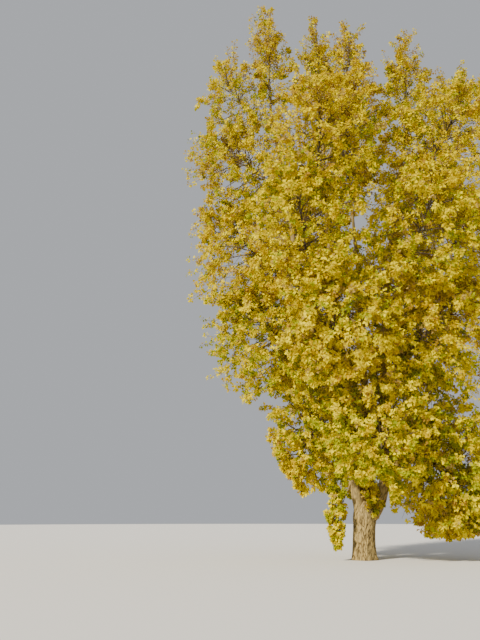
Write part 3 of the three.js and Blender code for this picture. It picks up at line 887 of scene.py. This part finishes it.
def relief_tree():
    """Cuts long branching furrows between raised plates of bark."""
    tree, given = new_tree("bark relief", Depth="Float", Furrow="Float")
    place = named(tree, "place", "FLOAT_VECTOR")
    folded = sums(tree, "ABSOLUTE", sums(tree, "SUBTRACT", noise(tree, place, 1.0, 1.5, 0.35), 0.5))
    inputs = {"Value": folded, "From Max": given["Furrow"]}
    plate = add_node(tree, "ShaderNodeMapRange", inputs, interpolation_type="SMOOTHSTEP")
    rough = sums(tree, "MULTIPLY_ADD", noise(tree, place, 3.5, 4.0), PLATE_ROUGHNESS, plate)
    level = sums(tree, "MULTIPLY", sums(tree, "SUBTRACT", rough, RELIEF_REST), named(tree, "relief"))
    inputs = {0: add_node(tree, "GeometryNodeInputNormal")}
    inputs["Scale"] = sums(tree, "MULTIPLY", level, given["Depth"])
    push = add_node(tree, "ShaderNodeVectorMath", inputs, operation="SCALE")
    moved = add_node(tree, "GeometryNodeSetPosition", {"Geometry": given["Geometry"], "Offset": push})
    inputs = {"Geometry": moved, "Name": "plate", "Value": plate}
    noted = add_node(tree, "GeometryNodeStoreNamedAttribute", inputs, data_type="FLOAT", domain="POINT")
    return close_tree(tree, given, noted)


def line_mesh(name, lines, radii):
    """A mesh of loose edges along many lines, with a radius at each point."""
    points = np.concatenate(lines)
    breaks = np.cumsum([len(line) for line in lines])[:-1] - 1
    starts = np.delete(np.arange(len(points) - 1), breaks)
    edges = np.stack([starts, starts + 1], 1)
    return new_mesh(name, points, {"radius": np.concatenate(radii)}, edges=edges)


def shell_mesh(name, shells):
    """One mesh from shells of rings of points, each with a point that closes each end."""
    points, quads, fans, bark = [], [], [], []
    offset = 0
    for shell in shells:
        rings, sides = shell["points"].shape[:2]
        here = offset + np.arange(rings * sides).reshape(rings, sides)
        beside = np.roll(here, -1, axis=1)
        offset += rings * sides + 2
        quads += np.stack([here[:-1], beside[:-1], beside[1:], here[1:]], -1).reshape(-1, 4).tolist()
        fans += np.stack([beside[0], here[0], np.full(sides, offset - 2)], 1).tolist()
        fans += np.stack([here[-1], beside[-1], np.full(sides, offset - 1)], 1).tolist()
        points += [shell["points"].reshape(-1, 3), shell["ends"]]
        values = shell["bark"].reshape(rings * sides, -1)
        bark += [values, values[:1], values[-1:]]
    bark = np.concatenate(bark)
    values = {"place": bark[:, :3], "relief": bark[:, 3], "age": bark[:, 4]}
    return new_mesh(name, np.concatenate(points), values, faces=quads + fans)


def ring_frames(line):
    """Two directions square to the line at each of its points, turning as little as they can."""
    tangents = unit(np.gradient(line, axis=0))
    side = unit(np.cross(tangents[0], [0.3, 1.0, 0.1]))
    sides = []
    for tangent in tangents:
        side = unit(side - tangent * (side @ tangent))
        sides.append(side)
    sides = np.array(sides)
    return sides, np.cross(tangents, sides)


def on_grid(*values):
    """Values by ring or by side, put together at every point of the grid."""
    return np.stack(np.broadcast_arrays(*values), -1)


def limb_shell(each, rings, sides, relief, age, collar):
    """Rings of points along a limb, with its bark; the collar widens its foot or thins it."""
    share = np.linspace(0, 1, rings)[:, None]
    centres = along(each["line"], share[:, 0])
    across, beside = ring_frames(centres)
    run = share * each["length"]
    radius = np.interp(share, EVEN, each["radii"]) * (1 + collar * np.exp(-run / COLLAR_LENGTH))
    turn = np.linspace(0, 2 * math.pi, sides, endpoint=False)
    wave = 1 + 0.03 * np.sin(3 * turn + run * 0.9) + 0.02 * np.sin(run * 2.3)
    out = across[:, None] * np.cos(turn)[:, None] + beside[:, None] * np.sin(turn)[:, None]
    points = centres[:, None] + out * (radius * wave)[..., None]
    width = radius.max() / PLATE_WIDTH
    place = (width * np.cos(turn), width * np.sin(turn), run / (PLATE_WIDTH * PLATE_STRETCH))
    bark = on_grid(*place, relief * radius / radius.max(), age[0] + (age[1] - age[0]) * share)
    bark[..., :3] += each["line"][0] * 3
    return dict(points=points, ends=centres[[0, -1]], bark=bark)


def trunk_radius(height, turn):
    """The trunk's lobed flare, taper and swelling, as in the frame's solid."""
    flare = np.exp(-height / FLARE_HEIGHT)
    lobes = 1 + LOBE_DEPTH * flare * np.cos(ROOT_LOBES * turn)
    swell = CROTCH_SWELL * smoothstep(height / FORK_HEIGHT, SWELL_START, 1 - DOME_SHARE / 2)
    return TRUNK_RADIUS * lobes * (1 + FOOT_FLARE * flare + swell)


def trunk_shell(leaders):
    """The trunk's bark, drawn up over the feet of the leaders and closed in the crotch."""
    rings, sides = TRUNK_GRID
    top, close = FORK_HEIGHT + BARK_RISE, FORK_HEIGHT + CROTCH_RISE
    height = np.linspace(0, top, rings)[:, None]
    turn = np.linspace(0, 2 * math.pi, sides, endpoint=False)[None]
    out_x, out_y = np.sin(turn), -np.cos(turn)
    axis_x = TRUNK_LEAN * (height / FORK_HEIGHT) ** 2
    dome_foot = FORK_HEIGHT * (1 - DOME_SHARE)
    domed = np.clip((height - dome_foot) / (close - dome_foot), 0, 1)
    reach = trunk_radius(np.minimum(height, FORK_HEIGHT), turn) * np.sqrt(1 - domed**2)
    cover = BARK_COVER - BARK_SINK * smoothstep(height, FORK_HEIGHT - 0.08, top)
    for leader in leaders.values():
        share = share_at(leader["line"], height)
        centre = along(leader["line"], share[:, 0])
        radius = np.interp(share, EVEN, leader["radii"]) + cover
        dx, dy = centre[:, :1] - axis_x, centre[:, 1:2]
        ahead = dx * out_x + dy * out_y
        miss = dx**2 + dy**2 - ahead**2
        hit = radius**2 - miss
        gap = np.sqrt(np.maximum(miss, 0)) - radius
        fading = ahead * np.exp(-((gap / 0.05) ** 2))
        exit_at = np.where(hit > 0, ahead + np.sqrt(np.maximum(hit, 0)), fading)
        grown = smoothstep(height, LEADER_ROOT_HEIGHT - 0.1, LEADER_ROOT_HEIGHT + 0.15)
        exit_at = np.where(ahead > 0, exit_at, 0) * grown
        blend = np.clip(0.5 + (exit_at - reach) / SEAM_WIDTH, 0, 1)
        reach = reach + (exit_at - reach) * blend + SEAM_WIDTH / 2 * blend * (1 - blend)
    reach = np.maximum(reach, 0.004)
    level = np.where(reach < 0.04, np.minimum(height, close), height)
    points = on_grid(axis_x + reach * out_x, reach * out_y, level)
    width = TRUNK_RADIUS / PLATE_WIDTH
    relief = (1 - 0.5 * smoothstep(height, FORK_HEIGHT - 0.2, top)) * smoothstep(height, -0.02, 0.06)
    bark = on_grid(width * out_x, width * out_y, height / (PLATE_WIDTH * PLATE_STRETCH), relief, 0 * height)
    return dict(points=points, ends=np.array([(0, 0, 0), (axis_x[-1, 0], 0, close)]), bark=bark)


def flatten_foot(piece):
    """Keeps the flat cut under the trunk at ground level."""
    points = np.empty(len(piece.data.vertices) * 3, np.float32)
    piece.data.vertices.foreach_get("co", points)
    points[2::3] = np.where(points[2::3] < 0.004, 0.0, points[2::3])
    piece.data.vertices.foreach_set("co", points)
    piece.data.update()


def principled(name, roughness, colour=(1, 1, 1, 1)):
    """A dull material of one colour, with its node tree and its shader."""
    material = bpy.data.materials.new(name)
    material.use_nodes = True
    shader = material.node_tree.nodes["Principled BSDF"]
    values = {"Roughness": roughness, "Specular IOR Level": 0.03, "Base Color": colour}
    for key, value in values.items():
        shader.inputs[key].default_value = value
    return material, material.node_tree, shader


def noise_share(tree, place, scale, limits, most):
    """A share from zero to the most, from noise between the limits."""
    inputs = {"Value": noise(tree, place, scale, 5), "To Max": most}
    inputs["From Min"], inputs["From Max"] = limits
    return add_node(tree, "ShaderNodeMapRange", inputs)


def blend(tree, share, first, second):
    """The first colour turning into the second by this share."""
    inputs = {"Factor": share, "A": first, "B": second}
    return add_node(tree, "ShaderNodeMix", inputs, "Result", data_type="RGBA")


def colour_ramp(tree, share, low, high):
    """The low colour turning into the high one by this share, and the ramp between them."""
    colour = add_node(tree, "ShaderNodeValToRGB", {"Fac": share})
    ramp = colour.node.color_ramp
    ramp.elements[0].color, ramp.elements[1].color = low, high
    return colour, ramp


def leaf_finish(name, colour):
    """A plain tint that lets some light through the blade."""
    material, tree, shader = principled(f"leaf {name}", 0.55, (*colour, 1))
    through = add_node(tree, "ShaderNodeBsdfTranslucent", {"Color": (*colour, 1)})
    mixed = add_node(tree, "ShaderNodeMixShader", {"Fac": 0.4, 1: shader.outputs[0], 2: through})
    tree.links.new(mixed, tree.nodes["Material Output"].inputs["Surface"])
    return material


def bark_finish():
    """Light sandy-brown plates over dark furrows, streaked along the grain, paler on younger wood."""
    material, tree, shader = principled("bark", 0.9)
    plate = add_node(tree, "ShaderNodeAttribute", {}, "Fac", attribute_name="plate")
    age = add_node(tree, "ShaderNodeAttribute", {}, "Fac", attribute_name="age")
    colour, ramp = colour_ramp(tree, plate, FURROW_COLOUR, PLATE_COLOUR)
    ramp.elements.new(0.4).color = SLOPE_COLOUR
    place = add_node(tree, "ShaderNodeTexCoord", {}, "Object")
    stretched = add_node(tree, "ShaderNodeMapping", {"Vector": place, "Scale": (1, 1, 0.16)})
    colour = blend(tree, noise_share(tree, place, *WEATHERED_PATCHES), colour, WEATHERED_COLOUR)
    colour = blend(tree, noise_share(tree, stretched, *STREAKS), colour, STREAK_COLOUR)
    tree.links.new(blend(tree, age, colour, YOUNG_COLOUR), shader.inputs["Base Color"])
    inputs = {"Strength": 1.0, "Distance": 0.015, "Height": noise(tree, stretched, 70, 6)}
    tree.links.new(add_node(tree, "ShaderNodeBump", inputs), shader.inputs["Normal"])
    return material


def twig_finish():
    """Smooth olive-grey young wood."""
    material, tree, shader = principled("twig bark", 0.7)
    place = add_node(tree, "ShaderNodeTexCoord", {}, "Object")
    colour, _ = colour_ramp(tree, noise(tree, place, 9, 2), *TWIG_COLOURS)
    tree.links.new(colour, shader.inputs["Base Color"])
    return material


def leaf_pattern(name, corners):
    """One leaf of unit length along +X, folded a little along its midrib."""
    half = LEAF_WIDTH / 2
    right = [(x, -width * half, rise) for x, width, rise in corners]
    left = [(x, width * half, rise) for x, width, rise in reversed(corners)]
    points = [(0, 0, 0), *right, (1, 0, -LEAF_TIP_DROP), *left]
    mesh = bpy.data.meshes.new(name)
    mesh.from_pydata(points, [], [(0, i, i + 1) for i in range(1, len(points) - 1)])
    return link(mesh)


def finish_piece(mesh, tree, values, nodes):
    """A finished piece: it rides on the tree's one body and stands for these nodes."""
    piece = settle(mesh, tree, values)
    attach(piece, "root")
    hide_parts(*nodes)
    return piece


def make_limbs(leaders, boughs):
    """The trunk, leaders and boughs with their bark in relief."""
    tree = relief_tree()
    values = {"Depth": RELIEF_DEPTH, "Furrow": FURROW_WIDTH, "Material": bark_finish()}
    leader_shells = [limb_shell(leader, LEADER_RINGS, **LEADER_BARK) for leader in leaders.values()]
    bough_shells = []
    for bough in boughs.values():
        rings = max(14, round(bough["length"] / BOUGH_RING_GAP))
        bough_shells.append(limb_shell(bough, rings, **BOUGH_BARK))
    pieces = {
        "trunk_bark": ([trunk_shell(leaders)], ["trunk"]),
        "leader_bark": (leader_shells, [f"leader_{name}" for name in leaders]),
        "bough_bark": (bough_shells, [f"bough_{name}" for name in boughs]),
    }
    for name, (shells, nodes) in pieces.items():
        flatten_foot(finish_piece(shell_mesh(name, shells), tree, values, nodes))


def make_twigs(twigs, foliage_nodes):
    """All the twigs as joined tubes, by order."""
    tree, finish = tube_tree(), twig_finish()
    stems = [(evenly(stem, 12), np.linspace(radius, STEM_TIP_RADIUS, 12)) for stem, radius in twigs["stem"]]
    mains, twiglets, shoots = (
        [(line, np.linspace(*radii, len(line))) for line in np.concatenate(twigs[order])]
        for order, radii in TWIG_RADII.items()
    )
    half = len(shoots) // 2
    groups = {
        "stem_twigs": (stems, 7),
        "main_twigs": (mains, 4),
        "side_twiglets": (twiglets, 3),
        "leaf_shoots_1": (shoots[:half], 3),
        "leaf_shoots_2": (shoots[half:], 3),
    }
    for name, (group, sides) in groups.items():
        values = {"Sides": sides, "Material": finish}
        finish_piece(line_mesh(name, *zip(*group)), tree, values, foliage_nodes)


def make_leaves(leaves, foliage_nodes):
    """All the leaves, in pieces by autumn tint and by place in the crown."""
    tree = leaf_tree()
    patterns = {place: leaf_pattern(f"{place}_leaf", corners) for place, corners in LEAF_CORNERS.items()}
    for k, (tint, colour) in enumerate(TINTS.items()):
        finish = leaf_finish(tint, colour)
        for outer, (place, pattern) in enumerate(patterns.items()):
            mine = leaves[(leaves[:, 10] == k) & (leaves[:, 11] == outer)]
            for i, part in enumerate(np.array_split(mine, math.ceil(len(mine) / MOST_LEAVES))):
                values = {"pointing": part[:, 3:6], "facing": part[:, 6:9], "size": part[:, 9]}
                points = new_mesh(f"{place}_leaves_{tint}_{i + 1}", part[:, :3], values)
                values = {"Leaf": pattern, "Material": finish}
                finish_piece(points, tree, values, foliage_nodes)
    for pattern in patterns.values():
        bpy.data.objects.remove(pattern)


def make_camera():
    camera = bpy.data.cameras.new("camera")
    camera.sensor_width, camera.lens, camera.clip_end = 36.0, CAMERA_LENS, 400
    holder = link(camera)
    holder.location = CAMERA_PLACE
    holder.rotation_euler = (math.radians(90 + CAMERA_PITCH), 0, 0)
    bpy.context.scene.camera = holder


def make_studio():
    """A plain pale floor, a soft key light from the front left and an even pale fill."""
    turn = np.linspace(0, 2 * math.pi, 96, endpoint=False)
    mesh = bpy.data.meshes.new("floor")
    mesh.from_pydata([(90 * math.cos(a), 90 * math.sin(a), -0.003) for a in turn], [], [tuple(range(96))])
    mesh.materials.append(principled("pale floor", 0.8, FLOOR_COLOUR)[0])
    link(mesh)
    key = bpy.data.lights.new("key", "SUN")
    key.energy, key.angle, key.color = KEY_STRENGTH, math.radians(5), KEY_COLOUR
    link(key).rotation_euler = (math.radians(KEY_TILT), 0, math.radians(KEY_TURN))
    world = bpy.data.worlds.new("pale studio")
    world.use_nodes = True
    fill = world.node_tree.nodes["Background"].inputs
    fill["Color"].default_value, fill["Strength"].default_value = FILL_COLOUR, FILL_STRENGTH
    bpy.context.scene.world = world


def main():
    make_camera()
    leaders = grow_leaders()
    masses = place_masses()
    boughs = {}
    for mass in masses:
        if mass.get("leader"):
            mass["carrier"] = leaders[mass["leader"]]
        else:
            mass["carrier"] = boughs[mass["name"]] = grow_bough(mass, leaders)
    for mass in masses:
        mass["limits"] = mass["limits"] + OVERLAP
    make_limbs(leaders, boughs)
    twigs, leaves = grow_foliage(masses, leaders, [*leaders.values(), *boughs.values()])
    foliage_nodes = [f"foliage_{mass['name']}" for mass in masses]
    make_twigs(twigs, foliage_nodes)
    make_leaves(leaves, foliage_nodes)
    make_studio()


main()
